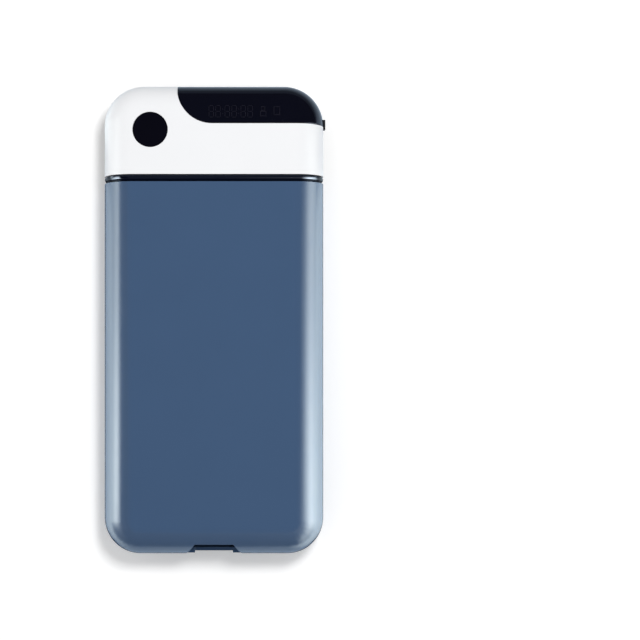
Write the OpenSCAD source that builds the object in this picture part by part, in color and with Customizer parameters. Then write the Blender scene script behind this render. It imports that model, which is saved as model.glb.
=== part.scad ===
// Timed lock container for a phone: a rounded sleeve that is open at one end, and a drawer
// made of a white head with the timer and the lock, a dark neck and a tray for the phone.
// It lies on its back. X runs across it, Y towards the head, Z out of its front face.
// The origin is the centre of the back face.

/* [Body] */
// Overall width across the rounded sides
body_w = 98; // [96:1:106]
// Overall length from the tail to the head end
body_l = 209; // [202:1:225]
// Overall thickness, whose half is the radius of the rounded edge
body_t = 26; // [26:0.5:28]
// Corner radius at the head end, seen from the front
head_corner_r = 17.8; // [16:0.2:20]
// Corner radius at the tail end, seen from the front
tail_corner_r = 16.2; // [15:0.2:20]
// Length of the white head
head_l = 40.5; // [40:0.5:46]
// Length of the dark neck below the head
neck_l = 2.8; // [2:0.2:5]
// Open gap between the neck and the sleeve's mouth
mouth_gap = 0.4; // [0.3:0.1:0.8]

/* [Walls] */
// Wall of the sleeve shells
sleeve_wall = 1.6; // [1.4:0.1:2]
// Wall of the head covers
head_wall = 1.8; // [1.6:0.1:2]
// Wall and floor of the tray
tray_wall = 1.5; // [1.2:0.1:2]
// How far the neck lies inside the outer surface
neck_inset = 0.3; // [0.1:0.1:0.6]
// Height that the seam lip stands above the seam
lip_h = 1.2; // [0.8:0.1:1.4]
// Thickness of the seam lip
lip_t = 0.8; // [0.6:0.1:1]
// Gap between the seam lip and the shell that it guides
lip_gap = 0.1; // [0.1:0.05:0.2]

/* [Tray] */
// Gap between the tray's sides and the strike tongue
tray_tongue_gap = 0.9; // [0.6:0.1:1.5]
// Radius of the tray's lower edge
tray_edge_r = 8; // [7.5:0.5:9]
// Corner radius of the tray, seen from the front
tray_corner_r = 10.5; // [10:0.5:13]
// Height of the tray's rim above the back of the sleeve
tray_rim_z = 20; // [17:0.5:20]
// Gap between the tray's floor and the sleeve
tray_gap = 0.35; // [0.3:0.05:0.5]
// Gap between the tray's tail wall and the sleeve's rounded end, at the equator
tray_tail_gap = 3; // [3:0.1:5]

/* [Cable opening] */
// Width of the cable opening's straight part
cable_w = 17; // [12:0.5:20]
// Width of the opening's flare at the tail end
flare_w = 25.2; // [22:0.2:30]
// Depth of the flare along the length
flare_depth = 5.6; // [4:0.2:7]
// Depth of the straight part below the seam
cable_drop = 3; // [2:0.2:5]

/* [Display window] */
// Space between the button and the window's left edge
window_button_gap = 4.3; // [3:0.1:6]
// Height of the window along the length
window_l = 18.3; // [16:0.1:20]
// Radius of the window's inner lower corner
window_r = 15.3; // [10:0.1:15.8]
// Thickness of the window lens
window_t = 1.7; // [1.2:0.1:1.7]
// Gap round the window lens
window_gap = 0.1; // [0.05:0.05:0.2]
// Thickness of the ledge behind the window
ledge_t = 1.2; // [0.8:0.1:1.4]
// Display panel's left end, from the window's left edge
display_start = 11.8; // [11:0.2:14]
// Display panel's right end, in from the right side
display_in = 13.8; // [13.6:0.2:18]
// Height of the display panel along the length
display_l = 8.2; // [7:0.2:8.4]
// Thickness of the display panel
display_t = 1.6; // [1.2:0.1:2]

/* [Timer button] */
// Diameter of the button
button_d = 15; // [12:0.5:16]
// Button centre, in from the left side
button_in = 21; // [19:0.5:23]
// Button centre, down from the head end
button_down = 21; // [20:0.5:23]
// Travel of the button
button_travel = 0.5; // [0.3:0.1:0.6]
// Gap round the button
button_gap = 0.25; // [0.2:0.05:0.4]

/* [Slide switch] */
// Length of the knob along the side
knob_l = 4.5; // [3.5:0.1:5]
// Thickness of the knob
knob_t = 2.8; // [2:0.1:3]
// How far the knob stands out of the side
knob_out = 0.9; // [0.5:0.1:2]
// Travel of the knob
knob_travel = 2.5; // [2:0.1:2.6]
// Knob's upper end, down from the head end
knob_down = 14.8; // [14:0.2:16]
// Gap round the knob in its slot
knob_gap = 0.35; // [0.3:0.05:0.5]

/* [Charging socket] */
// Width of the socket's shell
socket_w = 8.94; // [8.94:0.01:9]
// Height of the socket's shell
socket_h = 3.2; // [3.1:0.05:3.3]
// Length of the socket's shell
socket_l = 7.2; // [6.5:0.1:8]
// Wall of the socket's shell
socket_wall = 0.3; // [0.2:0.05:0.35]
// Socket centre, in from the left side
socket_in = 25; // [23:0.5:27]

/* [Lock] */
// Module of the gear teeth
gear_m = 0.5; // [0.48:0.01:0.52]
// Teeth of the wheel on the output shaft
output_wheel_n = 30; // [28:1:31]
// Teeth of the pinion that drives the bolt
output_pinion_n = 14; // [12:1:15]
// Teeth of the wheel on the idler shaft
idler_wheel_n = 28; // [26:1:28]
// Teeth of the pinion on the idler shaft
idler_pinion_n = 10; // [10:1:11]
// Teeth of the motor's pinion
motor_pinion_n = 10; // [10:1:11]
// Thickness of the two wheels
wheel_t = 1.5; // [1.2:0.1:1.6]
// Diameter of the gear axles
axle_d = 1.6; // [1.4:0.1:1.8]
// Radial clearance of the gears on their axles
axle_gap = 0.05; // [0.03:0.01:0.08]
// Width of the bolt below its teeth
bolt_w = 2.2; // [2:0.1:2.4]
// Thickness of the bolt
bolt_t = 2.4; // [2:0.1:2.4]
// Travel of the bolt
bolt_travel = 3.6; // [3:0.1:3.8]
// Clearance round the bolt in its guides
bolt_gap = 0.2; // [0.15:0.05:0.3]
// Thickness of the strike tongue on the sleeve
tongue_t = 2.1; // [1.8:0.1:2.2]
// Height of the strike tongue
tongue_h = 6; // [5.6:0.1:6.4]
// Clearance round the tongue in the neck
tongue_gap = 0.4; // [0.3:0.1:0.6]
// Diameter of the motor's can
motor_d = 12; // [11:0.5:12]
// Width over the motor's flats
motor_flats = 10; // [9:0.5:10.5]
// Length of the motor's can
motor_l = 7; // [6:0.2:7]
// Axle of the output gear, in from the strike tongue
output_in = 20.7; // [20.5:0.1:23]
// Left edge of the lock's plates, from the output gear's axle
plate_reach = 11; // [10.5:0.5:14]
// Thickness of the lock's base plate and top plate
plate_t = 1.2; // [1:0.1:1.3]

/* [Electronics] */
// Thickness of the main board
board_t = 1.2; // [1:0.1:1.6]
// Battery's left end, in from the left side
battery_in = 15; // [14.8:0.2:20]
// Space for the leads between the battery and the lock's plates
battery_lock_gap = 5.2; // [4.5:0.1:10]
// Width of the battery along the length
battery_l = 20; // [14:1:20]
// Thickness of the battery
battery_t = 6; // [4:0.5:8]
// Diameter of the board posts
post_d = 4.4; // [4:0.2:4.6]
// Diameter of the screws' threads
screw_d = 2; // [1.6:0.1:2.1]
// Diameter of the screws' heads
screw_head_d = 3.7; // [3.2:0.1:3.8]
// Height of the screws' heads
screw_head_h = 1.2; // [1:0.1:1.4]

/* [Hidden] */
$fn = 64;
// Overlap that a cutting body has past the face that it cuts
past = 1;
// Gap at which a glued or seated inner piece lies from its seat
seat_gap = 0.3;

// Main planes along the length
tail_y = -body_l / 2;
head_y = body_l / 2;
head_base_y = head_y - head_l;
neck_y = head_base_y - neck_l;
mouth_y = neck_y - mouth_gap;
// The rounded edge: its radius, and the flat face's half width and ends
edge_r = body_t / 2;
seam_z = edge_r;
flat_hw = body_w / 2 - edge_r;
head_turn_y = head_y - head_corner_r;
tail_turn_y = tail_y + tail_corner_r;

// Button
button_xy = [button_in - body_w / 2, head_y - button_down];
button_flange_d = button_d + 2.4;
button_flange_t = 1.3;
button_flange_z = body_t - head_wall - 0.2 - button_flange_t;
button_stem_d = 5;

// Window
window_x = button_xy[0] + button_d / 2 + window_button_gap;
window_y = head_y - window_l;
window_arc = [window_x + window_r, window_y + window_r];
ledge_z = seam_z + lip_h + 0.4;
ledge_margin = 1.2;
display_x = window_x + display_start;
display_y = window_y + 0.7;
display_w = body_w / 2 - display_in - display_x;
// The panel lies under the ledge, where the rounded corner leaves the least height
head_reach = head_corner_r - edge_r;
display_corner = [display_x + display_w - flat_hw + head_reach, display_y + display_l - head_turn_y];
display_top_z = seam_z - seat_gap
    + sqrt(pow(edge_r - head_wall - ledge_t, 2) - pow(max(0, norm(display_corner) - head_reach), 2));
display_rim = 1;

// Main board, whose underside carries the charging socket and the slide switch at the seam
socket_x = socket_in - body_w / 2;
board_z = seam_z + socket_h / 2;
board_top_z = board_z + board_t;
board_in = 5;
board_hw = body_w / 2 - board_in;
board_y0 = head_base_y + 12;
board_y1 = head_y - 4.1;
board_corner_r = head_corner_r - 3.8;

// Posts that carry the board
post_xy = [
    [9 - body_w / 2, head_base_y + 15],
    [body_w / 2 - 8.7, head_base_y + 14.6],
    [12.5 - body_w / 2, head_y - 11],
    [body_w / 2 - 10.3, head_y - 8.5]
];
bore_gap = 0.05;
board_screw_l = 5;
lock_screw_l = 5;
screw_bore_l = 6;

// Screws that hold the tray and the neck to the head, as [x, z, 1 for the front cover or 0]
neck_screw_xz = [
    [19 - body_w / 2, seam_z + 4.2, 1],
    [body_w / 2 - 19, seam_z + 4.2, 1],
    [16 - body_w / 2, seam_z - 6.5, 0],
    [body_w / 2 - 47, seam_z - 6.5, 0]
];
boss_d = 5.2;
ring_l = 1.2;
boss_l = 8;
neck_screw_l = 10;

// Switch under the button
plunger_d = 3.3;
plunger_z1 = board_top_z + 4.3;
tact_w = 6.2;
tact_h = 3.2;

// Slide switch
knob_y1 = head_y - knob_down;
knob_y0 = knob_y1 - knob_l;
slide_body_x0 = body_w / 2 - 9.4;
slide_body_w = 4.6;
slide_body_h = socket_h / 2 + 2;
slot_y0 = knob_y0 - knob_travel - knob_gap;
slot_y1 = knob_y1 + knob_gap;

// Lock levels, built up from the inner face of the back cover
plate_z = head_wall + seat_gap;
plate_top_z = plate_z + plate_t;
idler_wheel_z = plate_top_z + 0.4;
output_wheel_z = idler_wheel_z + wheel_t + 0.4;
output_pinion_z = output_wheel_z + wheel_t;
bolt_z = output_pinion_z + 1.6;
top_plate_z = bolt_z + bolt_t + bolt_gap;
hub_d = 3.2;

// Strike tongue and bolt, set out from the right side of the head
tongue_z = bolt_z + bolt_t / 2 - tongue_h / 2;
tongue_x1 = flat_hw + sqrt(pow(edge_r - head_wall - seat_gap, 2) - pow(seam_z - tongue_z, 2));
tongue_x0 = tongue_x1 - tongue_t;
tongue_end_y = head_base_y + 10.2;
tongue_root_y = mouth_y - 15;
bolt_y = head_base_y + 2.9;
bolt_tip_x = tongue_x0 - 0.8;

// Tray, beside the tongue
tray_hw = tongue_x0 - tray_tongue_gap;
tray_z = sleeve_wall + tray_gap;
tray_tail_y = tail_y + sleeve_wall + tray_tail_gap;
tray_cable_z = tray_z + tray_wall + 3.5;

// Gears: stub teeth with a 25 degree pressure angle
pressure_angle = 25;
addendum = 0.8 * gear_m;
dedendum = 1.05 * gear_m;
backlash = 0.08;
tooth_pitch = PI * gear_m;
output_r = output_pinion_n * gear_m / 2;
output_xy = [tongue_x0 - output_in, bolt_y + bolt_w + dedendum + output_r];
idler_angle = 36.87;
idler_away = gear_m / 2 * (output_wheel_n + idler_pinion_n);
idler_xy = output_xy + idler_away * [cos(idler_angle), sin(idler_angle)];
motor_angle = 115;
motor_away = gear_m / 2 * (idler_wheel_n + motor_pinion_n);
motor_xy = idler_xy + motor_away * [cos(motor_angle), sin(motor_angle)];
// Turn of each gear at rest, in degrees, so that the teeth stand in mesh
output_turn = -90;
idler_turn = idler_angle + 180
    + 360 / idler_pinion_n * (0.5 - (output_turn - idler_angle) * output_wheel_n / 360);
motor_turn = motor_angle + 180
    + 360 / motor_pinion_n * (0.5 - (idler_turn - motor_angle) * idler_wheel_n / 360);

// Lock plates
plate_x0 = output_xy[0] - plate_reach;
plate_x1 = flat_hw;
plate_y0 = head_base_y + ring_l + 0.2;
plate_y1 = head_y - edge_r + 1.9;
guide_l = 5.4;
// Guides of the bolt, as [left side, width]
guide_xs = [[plate_x0, 2.6], [plate_x1 - 3.3, 3]];
pillar_d = 3.6;
pillar_xy = [[plate_x0 + 3, motor_xy[1] - 1.7], [plate_x1 - pillar_d / 2, plate_y1 - pillar_d / 2 - 0.2]];
stake_xy = [[plate_x0 + 5, plate_y0 + 6.6], [plate_x0 + 9, plate_y1 - 3]];
stake_d = 2;

// Motor
motor_z = output_wheel_z + 0.2;
motor_cap_t = 1;
motor_shaft_d = 1;
motor_lead_d = 0.8;

// Battery
battery_x = battery_in - body_w / 2;
battery_w = plate_x0 - battery_lock_gap - battery_x;
battery_y = head_base_y + 9.5;
battery_z = head_wall + seat_gap;
lead_d = 1;
lead_bend_r = 1.5;

// ---------- shapes shared by several pieces ----------

// Half of a plate's edge: a flat reach, then a half round of radius r
module round_edge(reach, r) {
    translate([0, -r]) square([reach, 2 * r]);
    translate([reach, 0]) intersection() {
        circle(r);
        translate([0, -r - past]) square([r + past, 2 * r + 2 * past]);
    }
}

// Rounded end of the body towards +Y, from turn_y on
module end_cap(turn_y, corner_r, r) {
    reach = corner_r - edge_r;
    strip_hw = flat_hw - reach;
    translate([-strip_hw, turn_y, 0]) rotate([90, 0, 90])
        linear_extrude(2 * strip_hw) round_edge(reach, r);
    for (side = [0, 1])
        mirror([side, 0, 0]) translate([strip_hw, turn_y, 0])
            rotate_extrude(angle = 90) round_edge(reach, r);
}

// The body's outer form drawn in by inset, from y0 to y1 or to a rounded end.
// The straight part starts on the plane of the rounded end, so that the two meet exactly.
module slab(inset, y0, y1, tail = false, head = false) {
    r = edge_r - inset;
    from = tail ? tail_turn_y : y0;
    to = head ? head_turn_y : y1;
    translate([0, 0, seam_z]) {
        translate([0, tail ? from : to, 0]) rotate([tail ? -90 : 90, 0, 0]) linear_extrude(to - from) {
            round_edge(flat_hw, r);
            mirror([1, 0]) round_edge(flat_hw, r);
        }
        if (head) end_cap(head_turn_y, head_corner_r, r);
        if (tail) mirror([0, 1, 0]) end_cap(-tail_turn_y, tail_corner_r, r);
    }
}

module sleeve_slab(inset, over = 0) {
    slab(inset, 0, mouth_y + over, tail = true);
}

module head_slab(inset, over = 0) {
    slab(inset, head_base_y - over, 0, head = true);
}

// Space between two heights
module level(z0, z1) {
    translate([-body_w, -body_l, z0]) cube([2 * body_w, 2 * body_l, z1 - z0]);
}

// Lip on a back half that guides the front half at the seam
module seam_lip(wall) {
    difference() {
        union() {
            intersection() {
                children(0);
                level(seam_z - 2 * lip_h, seam_z);
            }
            intersection() {
                children(1);
                level(seam_z, seam_z + lip_h);
            }
        }
        children(2);
    }
}

function polar(r, a) = [r * cos(a), r * sin(a)];

// Points of an arc round a centre
function arc_points(centre, r, a0, a1, steps) =
    [for (i = [0:steps]) centre + polar(r, a0 + (a1 - a0) * i / steps)];

// Lower edge of a tray: a floor that turns up into a wall
module foot_profile(reach, r, z0, z1) {
    translate([0, z0]) square([reach - r, z1 - z0]);
    translate([reach - r, z0 + r]) square([r, z1 - z0 - r]);
    translate([reach - r, z0 + r]) intersection() {
        circle(r);
        translate([0, -r - past]) square([r + past, r + past]);
    }
}

// Dish with a rounded lower edge, open along Y at its head end
module dish(hw, y0, y1, corner_r, r, z0, z1) {
    translate([0, y0 + corner_r, 0]) mirror([0, 1, 0]) rotate([90, 0, 0])
        linear_extrude(y1 - y0 - corner_r) {
            foot_profile(hw, r, z0, z1);
            mirror([1, 0]) foot_profile(hw, r, z0, z1);
        }
    mirror([0, 1, 0]) {
        translate([-(hw - corner_r), -(y0 + corner_r), 0]) rotate([90, 0, 90])
            linear_extrude(2 * (hw - corner_r)) foot_profile(corner_r, r, z0, z1);
        for (side = [0, 1])
            mirror([side, 0, 0]) translate([hw - corner_r, -(y0 + corner_r), 0])
                rotate_extrude(angle = 90) foot_profile(corner_r, r, z0, z1);
    }
}

// Outline of the display window, which runs off the top and the right of the head
module window_outline(grow) {
    far = body_w;
    polygon(concat(
        [[far, window_y - grow], [far, head_y + far], [window_x - grow, head_y + far]],
        arc_points(window_arc, window_r + grow, 180, 270, 18)));
}

module window_prism(grow, z0, h = body_t) {
    translate([0, 0, z0]) linear_extrude(h) window_outline(grow);
}

// Slot in both head covers for the slide switch's knob
module knob_slot() {
    translate([body_w / 2 - head_wall - lip_t - past, slot_y0, seam_z - knob_t / 2 - knob_gap])
        cube([head_wall + lip_t + 2 * past, slot_y1 - slot_y0, knob_t + 2 * knob_gap]);
}

// Outline of the charging socket, with round ends, grown by a margin
module socket_outline(grow) {
    r = socket_h / 2 + grow;
    half = socket_w / 2 - socket_h / 2;
    for (side = [0, 1]) mirror([side, 0]) round_edge(half, r);
}

module at_socket(y_end) {
    translate([socket_x, y_end, seam_z]) rotate([90, 0, 0]) children();
}

module socket_cut() {
    at_socket(head_y + past) linear_extrude(socket_l) socket_outline(0.25);
}

// Pan-head screw that points to -Z with its head's seat at the origin
module screw(l) {
    cylinder(h = screw_head_h, d = screw_head_d);
    translate([0, 0, -l]) cylinder(h = l, d = screw_d);
}

// Boss and web that take one neck screw: dir is 1 for the front cover and -1 for the back cover
module neck_boss(x, z, dir) {
    wall_z = dir > 0 ? body_t - head_wall / 2 : head_wall / 2;
    web_t = 1.6;
    translate([x, head_base_y + boss_l, z]) rotate([90, 0, 0]) cylinder(h = boss_l, d = boss_d);
    translate([x - web_t / 2, head_base_y + ring_l + seat_gap, min(z, wall_z)])
        cube([web_t, boss_l - ring_l - seat_gap, abs(wall_z - z)]);
}

module neck_bore(x, z, d, y0, y1) {
    translate([x, y1, z]) rotate([90, 0, 0]) cylinder(h = y1 - y0, d = d);
}

// Space that the two halves of the cable opening cut out of the sleeve
module cable_cut() {
    slope = (flare_w - cable_w) / 2 / flare_depth;
    translate([0, 0, seam_z]) linear_extrude(body_t) polygon([
        [-cable_w / 2, tail_y + flare_depth], [cable_w / 2, tail_y + flare_depth],
        [flare_w / 2 + slope * past, tail_y - past], [-flare_w / 2 - slope * past, tail_y - past]]);
    translate([-cable_w / 2, tail_y - past, seam_z - cable_drop])
        cube([cable_w, flare_depth + past, cable_drop + past]);
}

// ---------- sleeve ----------

module sleeve_front_shell() color("steelblue") {
    rib_t = 1.4;
    difference() {
        intersection() {
            sleeve_slab(0);
            level(seam_z, body_t + past);
        }
        sleeve_slab(sleeve_wall, past);
        cable_cut();
    }
    // Ribs that keep the tray's rim down
    for (side = [0, 1])
        mirror([side, 0, 0]) intersection() {
            slab(sleeve_wall / 2, tail_turn_y + 4, mouth_y - 2);
            translate([tray_hw - rib_t, tail_turn_y, tray_rim_z + tray_gap])
                cube([rib_t, mouth_y - tail_turn_y, body_t]);
        }
}

module sleeve_back_shell() color("steelblue") {
    difference() {
        union() {
            difference() {
                intersection() {
                    sleeve_slab(0);
                    level(-past, seam_z);
                }
                sleeve_slab(sleeve_wall, past);
            }
            seam_lip(sleeve_wall) {
                sleeve_slab(sleeve_wall - lip_gap);
                sleeve_slab(sleeve_wall + lip_gap);
                sleeve_slab(sleeve_wall + lip_gap + lip_t, past);
            }
            strike_tongue();
        }
        cable_cut();
    }
}

// Tongue that reaches into the head, with the window that the bolt enters
module strike_tongue() {
    rib_t = 1.4;
    window_gap_y = 0.4;
    window_gap_z = 0.3;
    difference() {
        translate([tongue_x0, tongue_root_y, tongue_z])
            cube([tongue_t, tongue_end_y - tongue_root_y, tongue_h]);
        translate([tongue_x0 - past, bolt_y - window_gap_y, bolt_z - window_gap_z])
            cube([tongue_t + 2 * past, bolt_w + 2 * window_gap_y, bolt_t + 2 * window_gap_z]);
    }
    intersection() {
        slab(sleeve_wall / 2, tongue_root_y, mouth_y);
        for (y = [tongue_root_y, (tongue_root_y + mouth_y - rib_t) / 2, mouth_y - rib_t])
            translate([tongue_x0 + tongue_t / 2, y, tongue_z])
                cube([body_w / 2, rib_t, tongue_h - 2]);
    }
}

// ---------- drawer: tray and neck ----------

module tray() color("midnightblue") {
    difference() {
        dish(tray_hw, tray_tail_y, neck_y, tray_corner_r, tray_edge_r, tray_z, tray_rim_z);
        dish(tray_hw - tray_wall, tray_tail_y + tray_wall, neck_y - tray_wall,
            tray_corner_r - tray_wall, tray_edge_r - tray_wall, tray_z + tray_wall, tray_rim_z + past);
        translate([-cable_w / 2, tray_tail_y - past, tray_cable_z])
            cube([cable_w, tray_wall + 2 * past, body_t]);
        for (s = neck_screw_xz)
            neck_bore(s[0], s[1], screw_d + 0.2, neck_y - tray_wall - past, neck_y + past);
    }
}

module neck_plate() color("black") {
    bead = 0.5;
    ring_t = 1;
    difference() {
        union() {
            slab(neck_inset + bead, neck_y, head_base_y);
            slab(neck_inset, neck_y + bead, head_base_y - bead);
            difference() {
                slab(head_wall + lip_gap, head_base_y, head_base_y + ring_l);
                slab(head_wall + lip_gap + ring_t, head_base_y, head_base_y + ring_l + past);
            }
        }
        translate([tongue_x0 - tongue_gap, neck_y - past, tongue_z - tongue_gap])
            cube([tongue_t + 2 * tongue_gap, neck_l + ring_l + 2 * past, tongue_h + 2 * tongue_gap]);
        for (s = neck_screw_xz)
            neck_bore(s[0], s[1], screw_d + 0.2, neck_y - past, head_base_y + past);
    }
}

module neck_screws() color("silver") {
    for (s = neck_screw_xz)
        translate([s[0], neck_y - tray_wall, s[1]]) rotate([90, 0, 0]) screw(neck_screw_l);
}

// ---------- drawer: head covers and window ----------

module head_front_cover() color("whitesmoke") {
    difference() {
        union() {
            difference() {
                intersection() {
                    head_slab(0);
                    level(seam_z, body_t + past);
                }
                difference() {
                    head_slab(head_wall, past);
                    window_prism(ledge_margin, ledge_z);
                }
                intersection() {
                    head_slab(head_wall + ledge_t, past);
                    window_prism(ledge_margin, ledge_z);
                }
                difference() {
                    window_prism(0, seam_z - past);
                    head_slab(head_wall);
                }
                window_prism(0, seam_z - past, past + ledge_z - seam_z);
            }
            for (s = neck_screw_xz) if (s[2] == 1) neck_boss(s[0], s[1], 1);
        }
        for (s = neck_screw_xz) if (s[2] == 1)
            neck_bore(s[0], s[1], screw_d + 2 * bore_gap, head_base_y - past, head_base_y + boss_l - 1);
        display_cut();
        translate([button_xy[0], button_xy[1], body_t / 2])
            cylinder(h = body_t, d = button_d + 2 * button_gap);
        knob_slot();
        socket_cut();
    }
}

// Opening in the ledge through which the display shows
module display_cut() {
    translate([display_x + display_rim, display_y + display_rim, display_top_z - past])
        cube([display_w - 2 * display_rim, display_l - 2 * display_rim, ledge_t + 3 * past]);
}

module head_back_cover() color("whitesmoke") {
    difference() {
        union() {
            difference() {
                intersection() {
                    head_slab(0);
                    level(-past, seam_z);
                }
                head_slab(head_wall, past);
            }
            difference() {
                seam_lip(head_wall) {
                    head_slab(head_wall - lip_gap);
                    head_slab(head_wall + lip_gap);
                    head_slab(head_wall + lip_gap + lip_t, past);
                }
                // The neck's ring takes the lip's place at the open end
                translate([-body_w, head_base_y - past, 0])
                    cube([2 * body_w, past + ring_l + seat_gap, body_t]);
            }
            for (s = neck_screw_xz) if (s[2] == 0) neck_boss(s[0], s[1], -1);
            intersection() {
                head_slab(head_wall / 2);
                for (p = post_xy) translate([p[0], p[1], 0]) cylinder(h = board_z, d = post_d);
            }
            for (p = stake_xy) translate([p[0], p[1], head_wall / 2]) {
                cylinder(h = plate_z - head_wall / 2, d = 2 * stake_d);
                cylinder(h = plate_top_z - head_wall / 2, d = stake_d);
            }
        }
        for (s = neck_screw_xz) if (s[2] == 0)
            neck_bore(s[0], s[1], screw_d + 2 * bore_gap, head_base_y - past, head_base_y + boss_l - 1);
        for (p = post_xy)
            translate([p[0], p[1], board_z - screw_bore_l])
                cylinder(h = screw_bore_l + past, d = screw_d + 2 * bore_gap);
        knob_slot();
        socket_cut();
    }
}

module display_window() color([0.05, 0.05, 0.08]) {
    difference() {
        intersection() {
            head_slab(0);
            window_prism(-window_gap, seam_z);
        }
        head_slab(window_t, past);
        knob_slot();
    }
}

// ---------- drawer: display, board and controls ----------

module display_panel() color("darkslategray") {
    translate([display_x, display_y, display_top_z - display_t]) cube([display_w, display_l, display_t]);
}

module display_frame() color("dimgray") {
    h = display_top_z - display_t - board_top_z;
    cells = 4;
    cell_w = (display_w - display_rim) / cells;
    difference() {
        translate([display_x, display_y, board_top_z]) cube([display_w, display_l, h]);
        for (i = [0:cells - 1])
            translate([display_x + i * cell_w, display_y, board_top_z] + display_rim * [1, 1, 1])
                cube([cell_w - display_rim, display_l - 2 * display_rim, h]);
    }
}

module board_outline() {
    cx = board_hw - board_corner_r;
    cy = board_y1 - board_corner_r;
    polygon(concat(
        [[-board_hw, board_y0], [board_hw, board_y0]],
        arc_points([cx, cy], board_corner_r, 0, 90, 12),
        arc_points([-cx, cy], board_corner_r, 90, 180, 12)));
}

module main_board() color("darkgreen") {
    translate([0, 0, board_z]) linear_extrude(board_t) difference() {
        board_outline();
        for (p = post_xy) translate(p) circle(d = screw_d + 0.2);
    }
}

module board_screws() color("silver") {
    for (p = post_xy) translate([p[0], p[1], board_top_z]) screw(board_screw_l);
}

// Controller, charger chip, memory and two capacitors on top of the board
module board_chips() color("black") {
    // [x from the button, y from the head's base, width, length, height]
    chips = [
        [11, 25, 6, 6, 1.2], [11, 14, 5, 4, 1.4], [30, 14.5, 5, 4, 1.4],
        [42, 15, 4, 3, 2], [52, 15, 4, 3, 2]
    ];
    for (c = chips)
        translate([button_xy[0] + c[0], head_base_y + c[1], board_top_z]) cube([c[2], c[3], c[4]]);
}

module timer_button() color("black") {
    translate([button_xy[0], button_xy[1], 0]) {
        translate([0, 0, button_flange_z]) cylinder(h = body_t - button_flange_z, d = button_d);
        translate([0, 0, button_flange_z]) cylinder(h = button_flange_t, d = button_flange_d);
        translate([0, 0, plunger_z1 + 0.1])
            cylinder(h = button_flange_z - plunger_z1 - 0.1, d = button_stem_d);
    }
}

module button_switch_body() color("dimgray") {
    difference() {
        translate([button_xy[0] - tact_w / 2, button_xy[1] - tact_w / 2, board_top_z])
            cube([tact_w, tact_w, tact_h]);
        translate([button_xy[0], button_xy[1], board_top_z + 1])
            cylinder(h = tact_h, d = plunger_d + 0.2);
    }
}

module button_switch_plunger() color("black") {
    z0 = board_top_z + 1 + button_travel + 0.2;
    translate([button_xy[0], button_xy[1], z0]) cylinder(h = plunger_z1 - z0, d = plunger_d);
}

module slide_switch_body() color("silver") {
    wall = 0.6;
    stem_gap = 0.2;
    difference() {
        translate([slide_body_x0, slot_y0 - wall, board_z - slide_body_h])
            cube([slide_body_w, slot_y1 - slot_y0 + 2 * wall, slide_body_h]);
        translate([slide_body_x0 + 1, slot_y0, seam_z - 1 - stem_gap])
            cube([slide_body_w, slot_y1 - slot_y0, 2 + 2 * stem_gap]);
    }
}

module slide_switch_knob() color("black") {
    stem_x0 = slide_body_x0 + 1.3;
    grip_x0 = slide_body_x0 + slide_body_w + 0.4;
    translate([stem_x0, knob_y0, seam_z - 1]) cube([grip_x0 - stem_x0, knob_l, 2]);
    translate([grip_x0, knob_y0, seam_z - knob_t / 2])
        cube([body_w / 2 + knob_out - grip_x0, knob_l, knob_t]);
}

module usb_socket_shell() color("silver") {
    back_t = 0.6;
    difference() {
        at_socket(head_y - 0.3) linear_extrude(socket_l) socket_outline(0);
        at_socket(head_y - 0.3 + past)
            linear_extrude(socket_l - back_t + past) socket_outline(-socket_wall);
    }
}

module usb_socket_tongue() color("black") {
    w = 6.6;
    t = 0.7;
    back_y = head_y - 0.3 - socket_l + 0.6;
    translate([socket_x - w / 2, back_y, seam_z - t / 2]) cube([w, socket_l - 1.6, t]);
}

// ---------- drawer: battery ----------

module battery_cell() color("lightgray") {
    r = battery_t / 2;
    fold_l = 2;
    translate([battery_x, battery_y, battery_z + r]) {
        translate([r, 0, -r]) cube([battery_w - 2 * r - fold_l, battery_l, battery_t]);
        translate([r, battery_l, 0]) rotate([90, 0, 0]) linear_extrude(battery_l)
            mirror([1, 0]) round_edge(0.01, r);
        translate([battery_w - r - fold_l, battery_l, 0]) rotate([90, 0, 0]) linear_extrude(battery_l)
            round_edge(0.01, r);
        translate([battery_w - 2 * r, 1, -0.5]) cube([2 * r, battery_l - 2, 1]);
    }
}

module battery_leads() color("red") {
    x0 = battery_x + battery_w;
    z0 = battery_z + battery_t / 2;
    for (y = [battery_y + battery_l - 4, battery_y + battery_l - 7]) translate([x0, y, z0]) {
        rotate([0, 90, 0]) cylinder(h = 1, d = lead_d);
        translate([1, 0, lead_bend_r]) rotate([-90, 0, 0]) rotate_extrude(angle = 90)
            translate([lead_bend_r, 0]) circle(d = lead_d);
        translate([1 + lead_bend_r, 0, lead_bend_r])
            cylinder(h = board_z - z0 - lead_bend_r, d = lead_d);
    }
}

// ---------- drawer: lock ----------

// Half the angle that a tooth covers at radius r, with involute flanks above the base circle
function involute(a) = tan(a) - a * PI / 180;
function tooth_half(n, r) = let (
        pitch_r = n * gear_m / 2,
        base_r = pitch_r * cos(pressure_angle),
        at = max(r, base_r),
        rad = PI / (2 * n) + involute(pressure_angle) - involute(acos(base_r / at)) - backlash / 4 / pitch_r
    ) rad * 180 / PI;

module gear_outline(n, turn) {
    pitch_r = n * gear_m / 2;
    root_r = pitch_r - dedendum;
    radii = [root_r, pitch_r - addendum / 2, pitch_r, pitch_r + addendum / 2, pitch_r + addendum];
    polygon([for (i = [0:n - 1]) each concat(
        [for (r = radii) polar(r, turn + 360 / n * i - tooth_half(n, r))],
        [for (k = [4:-1:0]) polar(radii[k], turn + 360 / n * i + tooth_half(n, radii[k]))])]);
}

module toothed(n, turn, z0, h) {
    translate([0, 0, z0]) linear_extrude(h) difference() {
        gear_outline(n, turn);
        circle(d = axle_d + 2 * axle_gap);
    }
}

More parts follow.
